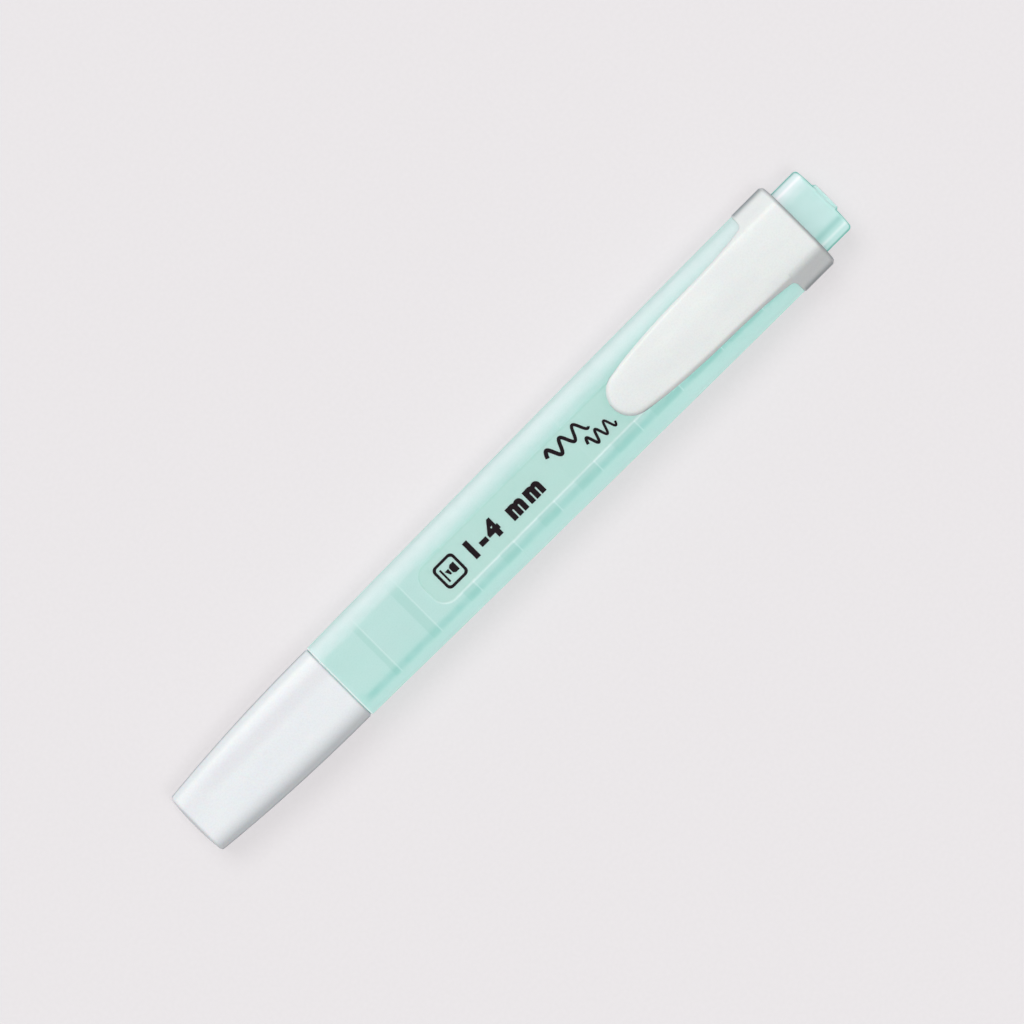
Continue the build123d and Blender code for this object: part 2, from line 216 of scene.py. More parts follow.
# ------ cap
CAP_LENGTH = cap_high.x - cap_low.x
CAP_MOUTH_WIDTH = cap_high.y - cap_low.y
CAP_END_WIDTH, CAP_END_HEIGHT = 10.3, 7.8
CAP_TAPER_POWER = 2.1
CAP_BULGE = 0.3
CAP_END_ROUND, CAP_MOUTH_ROUND = 0.55, 0.34
CAP_WALL, CAP_END_WALL = 0.8, 1.2
CAP_SEAT_DEPTH, CAP_SEAT_LEAD = 8.0, 0.15
CAP_SEAT_CORNER = SEAT[2] + RUN_GAP
CENTRE_SHARE = 0.04


def cap_ring(x, inset=0.0):
    """The cap's section at station x, brought in all round by inset."""
    closing = max(0.0, (cap_high.x - x) / CAP_LENGTH) ** CAP_TAPER_POWER
    width = CAP_MOUTH_WIDTH - (CAP_MOUTH_WIDTH - CAP_END_WIDTH) * closing
    height = BODY_HEIGHT - (BODY_HEIGHT - CAP_END_HEIGHT) * closing
    return oval(x, *drawn_in((width, height, BODY_CORNER * height / BODY_HEIGHT), inset))


def make_cap():
    """The cap shell: bulged end, tapered outside, rounded mouth, seat and inside."""
    side_x = cap_low.x + CAP_BULGE + CAP_END_ROUND
    end_ring = cap_ring(side_x, CAP_END_ROUND)
    rings = []
    for share in (CENTRE_SHARE, 0.3, 0.55, 0.75, 0.9):
        rings.append(shrink(end_ring, share, cap_low.x + CAP_BULGE * share**2))
    for advance, inset in reversed(quarter_round(CAP_END_ROUND, 7)):
        rings.append(at(cap_low.x + CAP_BULGE + advance, cap_ring(side_x, inset)))
    rings += [cap_ring(x) for x in steps(side_x, cap_high.x - CAP_MOUTH_ROUND, 30)[1:]]
    for advance, inset in quarter_round(CAP_MOUTH_ROUND, 9)[1:]:
        rings.append(cap_ring(cap_high.x - advance, inset))
    seat = (CAP_MOUTH_WIDTH - 2 * CAP_WALL, BODY_HEIGHT - 2 * CAP_WALL, CAP_SEAT_CORNER)
    seat_x = cap_high.x - CAP_SEAT_DEPTH
    inner_end_x = cap_low.x + CAP_END_WALL
    rings.append(oval(cap_high.x, *drawn_in(seat, -CAP_SEAT_LEAD)))
    rings.append(oval(cap_high.x - CAP_SEAT_LEAD, *seat))
    rings.append(oval(seat_x, *seat))
    rings += [cap_ring(x, CAP_WALL) for x in steps(seat_x - CAP_SEAT_LEAD, inner_end_x, 14)]
    rings.append(shrink(rings[-1], CENTRE_SHARE, inner_end_x))
    return skin("cap_outer", rings)


# ------ barrel
BARREL_MIDDLE_X, BARREL_MIDDLE_WIDTH = 8.0, 14.1
BARREL_REAR_WIDTH = barrel_high.y - barrel_low.y
BARREL_ROUND = 0.25
CORNER_GROWS_X = 38.0
GROOVE_DEPTH = 0.3
LAND_COUNT, LAND_PITCH, FIRST_LAND_X = 10, 8.0, -26.9
FIRST_LAND_LENGTH, LAND_SHORTENING = 6.6, 0.6
FIRST_GROOVE_X = -27.8
SOCKET_X = 46.5
PANEL_FRONT_X, PANEL_REAR_X, PANEL_WIDTH, PANEL_DEPTH = -16.4, 49.5, 6.6, 0.12
PANEL_CORNER, PANEL_BORDER, PANEL_MARGIN = 2.2, 0.16, 0.3
TOP_REACH, TOP_STEP = 3.9, 0.15
# share of the way round that the outside's first point lies before the top
TOP_SHARE = 0.09


def barrel_width(x):
    """Width of the barrel at station x: a parabola through its front, middle and collar stations."""
    a, b, c = barrel_low.x, BARREL_MIDDLE_X, COLLAR_FRONT_X
    return (
        CAP_MOUTH_WIDTH * (x - b) * (x - c) / ((a - b) * (a - c))
        + BARREL_MIDDLE_WIDTH * (x - a) * (x - c) / ((b - a) * (b - c))
        + BARREL_REAR_WIDTH * (x - a) * (x - b) / ((c - a) * (c - b))
    )


def barrel_corner(x):
    """Radius of the barrel's long corners at station x: it grows just before the collar."""
    share = smooth((x - CORNER_GROWS_X) / (COLLAR_FRONT_X - CORNER_GROWS_X))
    return BODY_CORNER + (REAR_CORNER - BODY_CORNER) * share


def panel_share(x, y):
    """1 inside the printing panel, 0 outside it, with a narrow soft border."""
    beyond_x = max(PANEL_FRONT_X + PANEL_CORNER - x, x - PANEL_REAR_X + PANEL_CORNER, 0.0)
    beyond_y = max(abs(y) - PANEL_WIDTH / 2 + PANEL_CORNER, 0.0)
    return smooth((PANEL_CORNER - math.hypot(beyond_x, beyond_y)) / PANEL_BORDER + 0.5)


def body_surface_z(x, y):
    """Height of the barrel's broad face at a point, with the panel let in."""
    half, corner = barrel_width(x) / 2, barrel_corner(x)
    over = max(0.0, abs(y) - (half - corner))
    z = BODY_HEIGHT - corner + math.sqrt(max(0.0, corner**2 - over**2))
    floor_z = min(z, BODY_HEIGHT - PANEL_DEPTH)
    return z + (floor_z - z) * panel_share(x, y)


def barrel_ring(x, inset=0.0):
    """The barrel's outside section: fixed stations across the broad face, even steps round the rest."""
    half = barrel_width(x) / 2 - inset
    low_z = barrel_corner(x)
    high_z = BODY_HEIGHT - low_z
    corner = low_z - inset
    flat = half - corner
    reach = TOP_REACH * half / (half + inset)

    def arc(z, first, last, count):
        return [(-flat - corner * math.sin(a), z + corner * math.cos(a)) for a in steps(first, last, count)]

    ring = []
    for y in steps(reach, -reach, round(2 * TOP_REACH / TOP_STEP) + 1):
        if inset:
            z = high_z + math.sqrt(corner**2 - max(0.0, abs(y) - flat) ** 2)
        else:
            z = body_surface_z(x, y)
        ring.append((x, y, z))
    left = arc(high_z, math.asin((reach - flat) / corner), QUARTER, 15)[1:]
    left += [(-half, z) for z in steps(high_z, low_z, 6)[1:-1]]
    left += arc(low_z, QUARTER, math.pi, 19)
    bottom = [(y, inset) for y in steps(-flat, flat, 13)[1:-1]]
    right = [(-y, z) for y, z in reversed(left)]
    return ring + [(x, y, z) for y, z in left + bottom + right]


def bore_sections():
    """(x, sizes) from the collar's spigot through the plug's socket and the lands to the front."""
    socket = eased(SKIRT)
    groove = eased(BORE, GROOVE_DEPTH)
    sections = [(COLLAR_FRONT_X, SPIGOT), (barrel_high.x, SPIGOT), (barrel_high.x, socket)]
    sections += [(SOCKET_X, socket), (SOCKET_X, BORE)]
    for i in reversed(range(LAND_COUNT)):
        land_x = FIRST_LAND_X + LAND_PITCH * i
        groove_x = FIRST_GROOVE_X
        if i:
            groove_x = land_x - LAND_PITCH + FIRST_LAND_LENGTH - LAND_SHORTENING * (i - 1)
        sections += [(land_x, BORE), (land_x, groove), (groove_x, groove), (groove_x, BORE)]
    return sections + [(barrel_low.x, BORE)]


def make_barrel():
    """The barrel: outside with the panel, spigot for the collar, and the bore with its lands and grooves."""
    rings = []
    for advance, inset in reversed(quarter_round(BARREL_ROUND, 5)[1:]):
        rings.append(at(barrel_low.x + advance, barrel_ring(barrel_low.x, inset)))
    bend = PANEL_WIDTH / 2
    stations = [barrel_low.x + BARREL_ROUND] + steps(-33.0, -18.0, 12)
    stations += steps(PANEL_FRONT_X - 0.8, PANEL_FRONT_X + bend + PANEL_MARGIN, 42)
    stations += steps(-12.0, 44.0, 29)
    stations += steps(PANEL_REAR_X - bend, PANEL_REAR_X + PANEL_MARGIN, 24) + [COLLAR_FRONT_X]
    rings += [barrel_ring(x) for x in stations]
    count = len(rings[0])
    rings += [oval(x, *sizes, count, 0.25 - TOP_SHARE) for x, sizes in bore_sections()]
    return skin("barrel_shell", rings, loop=True)


# ------ clip and collar, one moulding
CLIP_TOP_Z = collar_high.z
TIP_X = tongue_low.x
TIP_ARC_RADIUS = 3.5
TIP_SHOULDER_X, TIP_SHOULDER_HALF = 23.3, 3.45
TIP_SWING = math.asin(TIP_SHOULDER_HALF / TIP_ARC_RADIUS)
TIP_BLEND_X = 27.0
ROOT_CORNER = 0.7
ROOT_CORNER_X = COLLAR_FRONT_X - ROOT_CORNER
# (x, half width, slope) behind the tip
TONGUE_KNOTS = (
    (TIP_SHOULDER_X, TIP_SHOULDER_HALF, 0.175),
    (35.0, 4.52, 0.045),
    (42.0, 4.68, 0.03),
    (COLLAR_FRONT_X, 5.44, 0.15),
)
PLATEAU_HALF, PLATEAU_ROUND, PLATEAU_CROWN = 4.6, 0.3, 0.4
COLLAR_HALF = collar_high.y
COLLAR_MID_Z = CLIP_TOP_Z / 2
SHOULDER_Z = 8.0
SHOULDER_ROUND, SHOULDER_SHARE = 2.25, 0.55
COLLAR_REAR_ROUND = 0.75
TONGUE_SINK, TONGUE_BOW = 0.65, 0.12
TIP_THICKNESS, ROOT_THICKNESS, EDGE_THICKNESS = 1.15, 1.45, 0.85
BARREL_CLEARANCE = 0.1
TOP_EDGE_ROUND, LOW_EDGE_ROUND = 0.75, 0.2
ROOT_EDGE_ROUND, ROOT_EDGE_BLEND = 0.28, 3.0
FOOT_X, FOOT_HALF_LENGTH, FOOT_HALF_WIDTH, FOOT_FLANK = 25.5, 2.2, 2.5, 0.3
FACET_SLOPE = (CLIP_TOP_Z - SHOULDER_Z) / (COLLAR_HALF - PLATEAU_HALF)
EDGE_DISTANCES = (0.0, 0.03, 0.08, 0.15, 0.25, 0.37, 0.5, 0.62, 0.75, 1.2)


def hermite(x, a, b):
    """Height at x of the cubic from point a to point b, each an (x, height, slope)."""
    span = b[0] - a[0]
    t = (x - a[0]) / span
    return (
        (2 * t**3 - 3 * t**2 + 1) * a[1]
        + (t**3 - 2 * t**2 + t) * span * a[2]
        + (3 * t**2 - 2 * t**3) * b[1]
        + (t**3 - t**2) * span * b[2]
    )


def tongue_half(x):
    """Half the tongue's width behind its tip, flaring into the collar with a round corner."""
    x = min(x, COLLAR_FRONT_X)
    a, b = next(pair for pair in zip(TONGUE_KNOTS, TONGUE_KNOTS[1:]) if x <= pair[1][0])
    along = max(0.0, x - ROOT_CORNER_X)
    return hermite(x, a, b) + ROOT_CORNER - math.sqrt(max(0.0, ROOT_CORNER**2 - along**2))


TIP_BLEND_HALF = tongue_half(TIP_BLEND_X)
ROOT_HALF = tongue_half(COLLAR_FRONT_X)


def clip_top(x, y):
    """Height of the moulding's upper surface before its edges are rounded."""
    t = min(1.0, max(0.0, (COLLAR_FRONT_X - x) / (COLLAR_FRONT_X - TIP_X)))
    z = CLIP_TOP_Z - TONGUE_SINK * t + 4 * TONGUE_BOW * t * (1 - t)
    z -= PLATEAU_CROWN * min(1.0, abs(y) / PLATEAU_HALF) ** 2
    over = abs(y) - PLATEAU_HALF
    bend = (math.sqrt(over**2 + PLATEAU_ROUND**2) + over) / 2
    return z - FACET_SLOPE * bend


def tip_arc(angle):
    """A point of the tip's arc in plan."""
    return TIP_X + TIP_ARC_RADIUS * (1 - math.cos(angle)), TIP_ARC_RADIUS * math.sin(angle)


def clip_outline():
    """Close points along the moulding's free edge: round the tongue, then down the collar's front edge."""
    half = [tip_arc(angle) for angle in steps(0.0, TIP_SWING, 30)]
    half += [(x, tongue_half(x)) for x in steps(TIP_SHOULDER_X, ROOT_CORNER_X, 160)[1:]]
    for angle in steps(0.0, QUARTER, 14)[1:]:
        x = ROOT_CORNER_X + ROOT_CORNER * math.sin(angle)
        half.append((x, tongue_half(x)))
    half += [(COLLAR_FRONT_X, y) for y in steps(half[-1][1], COLLAR_HALF, 30)[1:]]
    return [(x, side * y, clip_top(x, y)) for side in (1, -1) for x, y in half]


CLIP_OUTLINE = clip_outline()


def edge_distance(x, y, z):
    """Distance from a point to the moulding's free edge."""
    return min((x - a) ** 2 + (y - b) ** 2 + (z - c) ** 2 for a, b, c in CLIP_OUTLINE) ** 0.5


def rounding(distance, radius):
    """How far a rounded edge falls below its surface at a distance from the edge."""
    if distance >= radius:
        return 0.0
    return radius - math.sqrt(max(0.0, radius**2 - (radius - distance) ** 2))


def edge_round(x):
    """Radius of the moulding's upper edge at station x: generous along the tongue, crisp at the collar."""
    t = smooth((x - COLLAR_FRONT_X + ROOT_EDGE_BLEND) / ROOT_EDGE_BLEND)
    return TOP_EDGE_ROUND + (ROOT_EDGE_ROUND - TOP_EDGE_ROUND) * t


def rounded_top(x, y):
    """The point of the finished upper surface over a plan point."""
    z = clip_top(x, y)
    return (x, y, z - rounding(edge_distance(x, y, z), edge_round(x)))


def underside(x, y):
    """The point of the tongue's underside below a plan point, with the foot that touches the panel."""
    t = min(1.0, max(0.0, (x - TIP_X) / (COLLAR_FRONT_X - TIP_X)))
    z_top = clip_top(x, y)
    z = clip_top(x, 0.0) - TIP_THICKNESS - (ROOT_THICKNESS - TIP_THICKNESS) * t
    z = min(z, z_top - EDGE_THICKNESS)
    z = max(z, body_surface_z(x, y) + BARREL_CLEARANCE)
    z += rounding(edge_distance(x, y, z_top), LOW_EDGE_ROUND) * (1 - smooth(t * 4 - 3))
    foot = smooth(1.4 * (1 - abs(x - FOOT_X) / FOOT_HALF_LENGTH))
    foot *= smooth((FOOT_HALF_WIDTH + FOOT_FLANK - abs(y)) / (2 * FOOT_FLANK))
    foot_z = BODY_HEIGHT - PANEL_DEPTH + RUN_GAP
    return (x, y, z + (foot_z - z) * foot)


def clip_columns():
    """Shares of the half width across the tongue, close together near its edges."""
    near = [1 - d / TIP_BLEND_HALF for d in EDGE_DISTANCES]
    right = near + steps(near[-1], 0.0, 9)[1:-1]
    return [-s for s in right] + [0.0] + list(reversed(right))


def clip_rows(columns):
    """Plan-view grid of the tongue: rows start as the tip's arc and straighten towards the collar."""
    depth = TIP_BLEND_X - TIP_X
    rows = []
    for v in [d / depth for d in EDGE_DISTANCES] + steps(EDGE_DISTANCES[-1] / depth, 1.0, 9)[1:]:
        edge_x = TIP_SHOULDER_X + (TIP_BLEND_X - TIP_SHOULDER_X) * v
        edge_extra = tongue_half(edge_x) - (TIP_SHOULDER_HALF + (TIP_BLEND_HALF - TIP_SHOULDER_HALF) * v)
        row = []
        for s in columns:
            x, y = tip_arc(s * TIP_SWING)
            row.append((x + (TIP_BLEND_X - x) * v, y + (s * TIP_BLEND_HALF - y) * v + s**3 * edge_extra))
        rows.append(row)
    straight = steps(TIP_BLEND_X, ROOT_CORNER_X, 40)[1:]
    straight += [ROOT_CORNER_X + ROOT_CORNER * math.sin(a) for a in steps(0.0, QUARTER, 10)[1:]]
    return rows + [[(x, s * tongue_half(x)) for s in columns] for x in straight]


def collar_side():
    """The collar's +Y outline from the tongue's root: facet, shoulder, side, corner, half the bottom."""
    bend_y = COLLAR_HALF - SHOULDER_SHARE * SHOULDER_ROUND
    points = [(y, clip_top(COLLAR_FRONT_X, y)) for y in steps(ROOT_HALF, bend_y, 10)[1:]]
    start = Vector((bend_y, clip_top(COLLAR_FRONT_X, bend_y)))
    middle = Vector((COLLAR_HALF, clip_top(COLLAR_FRONT_X, COLLAR_HALF)))
    end = Vector((COLLAR_HALF, middle.y - SHOULDER_ROUND))
    for t in steps(0.0, 1.0, 8)[1:]:
        points.append(tuple(start * (1 - t) ** 2 + middle * 2 * t * (1 - t) + end * t**2))
    points += [(COLLAR_HALF, z) for z in steps(end.y, REAR_CORNER, 4)[1:-1]]
    flat = COLLAR_HALF - REAR_CORNER
    for a in steps(0.0, QUARTER, 16):
        points.append((flat + REAR_CORNER * math.cos(a), REAR_CORNER - REAR_CORNER * math.sin(a)))
    return points + [(y, 0.0) for y in steps(flat, 0.0, 5)[1:-1]]


def oval_at(angle, width, height, corner):
    """Where a ray from the pen's axis at this angle meets an oval."""
    dy, dz = abs(math.cos(angle)), abs(math.sin(angle))
    flat_y, flat_z = width / 2 - corner, height / 2 - corner
    reach = min(width / 2 / max(dy, 1e-9), height / 2 / max(dz, 1e-9))
    if dy * reach > flat_y and dz * reach > flat_z:
        along = dy * flat_y + dz * flat_z
        reach = along + math.sqrt(max(0.0, along**2 - flat_y**2 - flat_z**2 + corner**2))
    return (reach * math.cos(angle), MID_Z + reach * math.sin(angle))


def collar_rings(columns):
    """The collar's rings: from the tongue's root back, round the rear edge and through the hole."""
    side = collar_side()
    rest = side + [(0.0, 0.0)] + [(-y, z) for y, z in reversed(side)]
    rings = []
    for distance in (*EDGE_DISTANCES, 1.8, 3.0, 4.6):
        x = COLLAR_FRONT_X + distance
        drop = rounding(distance, ROOT_EDGE_ROUND)
        ring = [rounded_top(x, s * ROOT_HALF) for s in columns]
        for y, z in rest:
            past_root = (abs(y) - ROOT_HALF) / (COLLAR_HALF - ROOT_HALF) if z > MID_Z else 1.0
            y_share = 1 - drop / COLLAR_HALF * max(0.0, past_root)
            ring.append((x, y * y_share, MID_Z + (z - MID_Z) * (1 - drop / COLLAR_MID_Z)))
        rings.append(ring)
    full = [(s * ROOT_HALF, clip_top(COLLAR_FRONT_X, s * ROOT_HALF)) for s in columns] + rest
    for advance, inset in quarter_round(COLLAR_REAR_ROUND, 8):
        y_share, z_share = 1 - inset / COLLAR_HALF, 1 - inset / COLLAR_MID_Z
        x = collar_high.x - advance
        rings.append([(x, y * y_share, COLLAR_MID_Z + (z - COLLAR_MID_Z) * z_share) for y, z in full])
    lip, hole = eased(SKIRT), eased(SPIGOT)
    hole_front_x = COLLAR_FRONT_X + 0.02
    for x, sizes in ((collar_high.x, lip), (COLLAR_LIP_X, lip), (COLLAR_LIP_X, hole), (hole_front_x, hole)):
        rings.append([(x, *oval_at(math.atan2(z - MID_Z, y), *sizes)) for y, z in full])
    return rings


def make_clip():
    """The collar and the tongue as one continuous moulding."""
    columns = clip_columns()
    across = len(columns)
    rows = clip_rows(columns)
    points, faces = [], []

    def add_points(new):
        first = len(points)
        points.extend(new)
        return list(range(first, len(points)))

    def strip(a, b, first=0, last=across - 1):
        for j in range(first, last):
            k = (j + 1) % len(a)
            faces.append((a[j], a[k], b[k], b[j]))

    top = [add_points([rounded_top(x, y) for x, y in row]) for row in rows[:-1]]
    low = [add_points([underside(x, y) for x, y in row]) for row in rows]
    loops = [add_points(ring) for ring in collar_rings(columns)]
    around = len(loops[0])
    for a, b in zip(loops, loops[1:]):
        strip(a, b, 0, around)
    top.append(loops[0][:across])
    for a, b in zip(top, top[1:]):
        strip(a, b)
    for a, b in zip(low, low[1:]):
        strip(b, a)
    strip(low[0], top[0])
    for j in (0, across - 1):
        faces += [(top[i][j], top[i + 1][j], low[i + 1][j], low[i][j]) for i in range(len(top) - 1)]
        faces.append((loops[0][j], low[-1][j], loops[-1][j]))
    strip(low[-1], loops[-1][:across])
    strip(loops[0], loops[-1], across - 1, around)
    return link_mesh("clip_moulding", points, faces)


# ------ end plug
PLUG_ROUND = 0.6
PLUG_BULGE = 0.15
PAD_HEIGHT = 0.4
PAD = (4.5, 4.2, 1.2)
PAD_ROOT_X = plug_high.x - PAD_HEIGHT
PLUG_WALL, PLUG_END_WALL, PLUG_STOP_RADIUS = 0.9, 1.2, 1.6
SKIRT_FRONT_X, SKIRT_ROUND = 47.0, 0.2


def make_plug():
    """The end plug: a rounded head with a moulding pad, a hollow skirt and the stop behind the ink core."""
    face_x = PAD_ROOT_X - PLUG_BULGE
    inside = drawn_in(SKIRT, PLUG_WALL)
    inside_x = PAD_ROOT_X - PLUG_END_WALL
    rings = [round_ring(plug_low.x, PLUG_STOP_RADIUS - 0.2), round_ring(plug_low.x + 0.2, PLUG_STOP_RADIUS)]
    rings += [round_ring(inside_x, PLUG_STOP_RADIUS), oval(inside_x, *inside), oval(SKIRT_FRONT_X, *inside)]
    rings += [oval(SKIRT_FRONT_X, *drawn_in(SKIRT, 0.15)), oval(SKIRT_FRONT_X + SKIRT_ROUND, *SKIRT)]
    rings += [oval(HEAD_X, *SKIRT), oval(HEAD_X, *SEAT)]
    rings += [oval(x, *SEAT) for x in steps(HEAD_X + 0.3, face_x - PLUG_ROUND, 6)]
    for advance, inset in quarter_round(PLUG_ROUND, 9)[1:]:
        rings.append(oval(face_x - advance, *drawn_in(SEAT, inset)))
    for inset, sink in ((1.7, 0.06), (2.2, 0.02)):
        width, height, corner = drawn_in(SEAT, inset)
        rings.append(oval(PAD_ROOT_X - sink, width, height, max(1.4, corner)))
    for advance, grow in ((0.0, 0.25), (0.06, 0.17), (PAD_HEIGHT - 0.08, 0.03), (PAD_HEIGHT - 0.02, -0.02)):
        rings.append(oval(PAD_ROOT_X + advance, *drawn_in(PAD, -grow)))
    width, height, corner = PAD
    rings.append(oval(plug_high.x, width - 0.25, height - 0.25, corner - 0.12))
    rings += [shrink(rings[-1], share, plug_high.x) for share in (0.5, 0.05)]
    return skin("plug_body", rings)


# ------ front section, nib and ink core
SEAT_LENGTH, SEAT_ROUND = 7.0, 0.6
NOSE_RADIUS, NOSE_ROUND = 2.95, 0.35
SEAL_RADIUS, SEAL_FRONT_X, SEAL_CHAMFER = 3.6, -46.0, 0.12
NIB = (nib_high.y - nib_low.y, nib_high.z - nib_low.z, 0.45)
SLOT = eased(NIB)
NIB_POINTS = 96
NIB_STRAIGHT_X = nib_low.x + 4.6
NIB_SLANT, NIB_WEAR, NIB_TAIL_CHAMFER = 2.6, 0.3, 0.4
CORE_FLUTES, CORE_FLUTE_DEPTH, CORE_END_ROUND = 32, 0.05, 0.35


def make_front():
    """The front section: plug in the barrel, seat for the cap, sealing land and nose with a slot."""
    seat_x = barrel_low.x - SEAT_LENGTH
    plug = drawn_in(BORE, RUN_GAP)
    rings = [oval(front_high.x, *SLOT), oval(front_high.x, *drawn_in(plug, 0.3))]
    rings += [oval(front_high.x - 0.3, *plug), oval(barrel_low.x, *plug), oval(barrel_low.x, *SEAT)]
    rings += [oval(x, *SEAT) for x in steps(barrel_low.x - 0.5, seat_x + SEAT_ROUND, 6)]
    for advance, inset in quarter_round(SEAT_ROUND, 7)[1:]:
        rings.append(oval(seat_x + advance, *drawn_in(SEAT, inset)))
    for x, radius in (
        (seat_x, SEAL_RADIUS + SEAL_CHAMFER),
        (seat_x - SEAL_CHAMFER, SEAL_RADIUS),
        (SEAL_FRONT_X, SEAL_RADIUS),
        (SEAL_FRONT_X - 0.6, SEAL_RADIUS - 0.3),
        (front_low.x + NOSE_ROUND, NOSE_RADIUS + 0.02),
    ):
        rings.append(round_ring(x, radius))
    for advance, inset in quarter_round(NOSE_ROUND, 6)[1:]:
        rings.append(round_ring(front_low.x + advance, NOSE_RADIUS - inset))
    rings.append(oval(front_low.x, *drawn_in(SLOT, -0.15)))
    rings.append(oval(front_low.x + 0.15, *SLOT))
    return skin("front_shell", rings, loop=True)


def nib_tip_x(y):
    """Where the slanted writing edge lies across the nib."""
    return nib_low.x + NIB_SLANT * (NIB[0] / 2 - y) / NIB[0]


def slanted(share, advance=0.0, inset=0.0):
    """A nib ring between the last straight one and the slanted edge."""
    width, height, corner = NIB
    ring = oval(0.0, width - 2 * inset, height - 2 * inset, max(0.1, corner - inset / 2), NIB_POINTS)
    start = NIB_STRAIGHT_X
    return [(start + (nib_tip_x(y) - start) * share + advance, y, z) for _, y, z in ring]


def make_nib():
    """The felt nib: a fibre bar with a slanted, slightly worn writing edge."""
    tail, chamfer = nib_high.x, NIB_TAIL_CHAMFER
    rings = [oval(tail, *eased(NIB, -chamfer), NIB_POINTS)]
    rings += [oval(x, *NIB, NIB_POINTS) for x in [tail - chamfer] + steps(tail - 2.0, NIB_STRAIGHT_X, 24)]
    rings += [slanted(share) for share in steps(0.0, 1.0, 8)[1:-1]]
    rings += [slanted(1.0, advance, inset) for advance, inset in quarter_round(NIB_WEAR, 6)]
    edge = [(nib_tip_x(y), y, z) for _, y, z in shrink(rings[-1], 0.5, 0.0)]
    return skin("nib_felt", rings + [edge])


def fluted(x, inset=0.0):
    """A ring of the core with its fine lengthwise flutes."""
    ring = []
    for i in range(RING_POINTS):
        angle = 2 * math.pi * i / RING_POINTS
        r = core_high.y - inset - CORE_FLUTE_DEPTH * (0.5 + 0.5 * math.cos(CORE_FLUTES * angle))
        ring.append((x, r * math.cos(angle), MID_Z + r * math.sin(angle)))
    return ring


def make_core():
    """The fibre core: a round bundle, finely fluted, with softened ends and the socket for the nib's tail."""
    socket_x, soft = nib_high.x + RUN_GAP, CORE_END_ROUND
    rings = [shrink(oval(socket_x, *SLOT), 0.1, socket_x), oval(socket_x, *SLOT), oval(core_low.x, *SLOT)]
    rings += [fluted(core_low.x, soft), fluted(core_low.x + soft)]
    rings += [fluted(x) for x in steps(core_low.x + 5, core_high.x - 5, 14)]
    rings += [fluted(core_high.x - soft), fluted(core_high.x, soft)]
    rings.append(shrink(rings[-1], 0.1, core_high.x))
    return skin("ink_core", rings)


cap = make_cap()
barrel = make_barrel()
clip = make_clip()
plug = make_plug()
front = make_front()
nib = make_nib()
core = make_core()

for piece, slot, *nodes in (
    (cap, "cap_plastic", "cap_shell"),
    (barrel, "tinted_plastic", "barrel"),
    (clip, "clip_plastic", "clip_collar", "clip_tongue"),
    (plug, "plug_plastic", "end_plug"),
    (front, "tinted_plastic", "front_section"),
    (nib, "nib_fibre", "nib"),
    (core, "reservoir_fibre", "ink_reservoir"),
):
    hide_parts(*nodes)
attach(cap, "cap")
for piece in (barrel, plug, front, nib, core):
    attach(piece, "pen_body")
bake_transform(clip)


# ------ print on the panel
PRINT_LIFT, PRINT_DEPTH = 0.004, 0.012
PRINT_Z = BODY_HEIGHT - PANEL_DEPTH + PRINT_LIFT
MARK_X, MARK_HALF, MARK_CORNER, MARK_LINE = -12.0, 1.98, 0.75, 0.42
TEXT_X, TEXT_Y, TEXT_SIZE, TEXT_WEIGHT, TEXT_SPACING = -8.7, -1.25, 3.7, 0.24, 1.3


def ink_mesh(name, curve, x=0.0, y=0.0):
    """A thin flat solid on the panel from a filled curve or text."""
    curve.extrude = PRINT_DEPTH * MM / 2
    source = link(name, curve)
    source.location = Vector((x, y, PRINT_Z + PRINT_DEPTH / 2)) * MM
    bpy.context.view_layer.update()
    mesh = bpy.data.meshes.new_from_object(source.evaluated_get(bpy.context.evaluated_depsgraph_get()))
    mesh.name = name
    mesh.transform(source.matrix_world)
    bpy.data.objects.remove(source)
    weld(mesh, 1e-8)
    return link(name, mesh)


def rounded_square(x, y, half, corner):
    """The outline of a square with round corners."""
    loop = []
    flat = half - corner
    for quadrant in range(4):
        across = 1 if quadrant in (0, 3) else -1
        up = 1 if quadrant in (0, 1) else -1
        for a in steps(quadrant * QUARTER, (quadrant + 1) * QUARTER, 8):
            loop.append((x + across * flat + corner * math.cos(a), y + up * flat + corner * math.sin(a)))
    return loop


def print_mark():
    """A rounded square outline with a small chisel nib over a drawn line inside it."""
    outer = rounded_square(MARK_X, 0.0, MARK_HALF, MARK_CORNER)
    inner = rounded_square(MARK_X, 0.0, MARK_HALF - MARK_LINE, MARK_CORNER - MARK_LINE + 0.15)
    holder = [(-0.7, 1.2), (0.7, 1.2), (0.7, 0.5), (0.42, 0.16), (-0.42, 0.16), (-0.7, 0.5)]
    tip = [(-0.42, -0.02), (0.42, -0.02), (0.42, -0.3), (-0.42, -0.68)]
    line = [(-1.1, -0.86), (1.1, -0.86), (1.1, -1.16), (-1.1, -1.16)]
    marks = [[(MARK_X + y, -x) for x, y in shape] for shape in (holder, tip, line)]
    curve = bpy.data.curves.new("print_mark", "CURVE")
    curve.dimensions = "2D"
    curve.fill_mode = "BOTH"
    for loop in [outer, inner] + marks:
        spline = curve.splines.new("POLY")
        spline.points.add(len(loop) - 1)
        for point, (x, y) in zip(spline.points, loop):
            point.co = (x * MM, y * MM, 0.0, 1.0)
        spline.use_cyclic_u = True
    return ink_mesh("print_mark", curve)


def print_size():
    """The range of line widths, in bold figures."""
    text = bpy.data.curves.new("print_size", "FONT")
    text.body = "1-4 mm"
    text.size = TEXT_SIZE * MM
    text.offset = TEXT_WEIGHT * MM
    text.space_character = TEXT_SPACING
    return ink_mesh("print_size", text, TEXT_X, TEXT_Y)


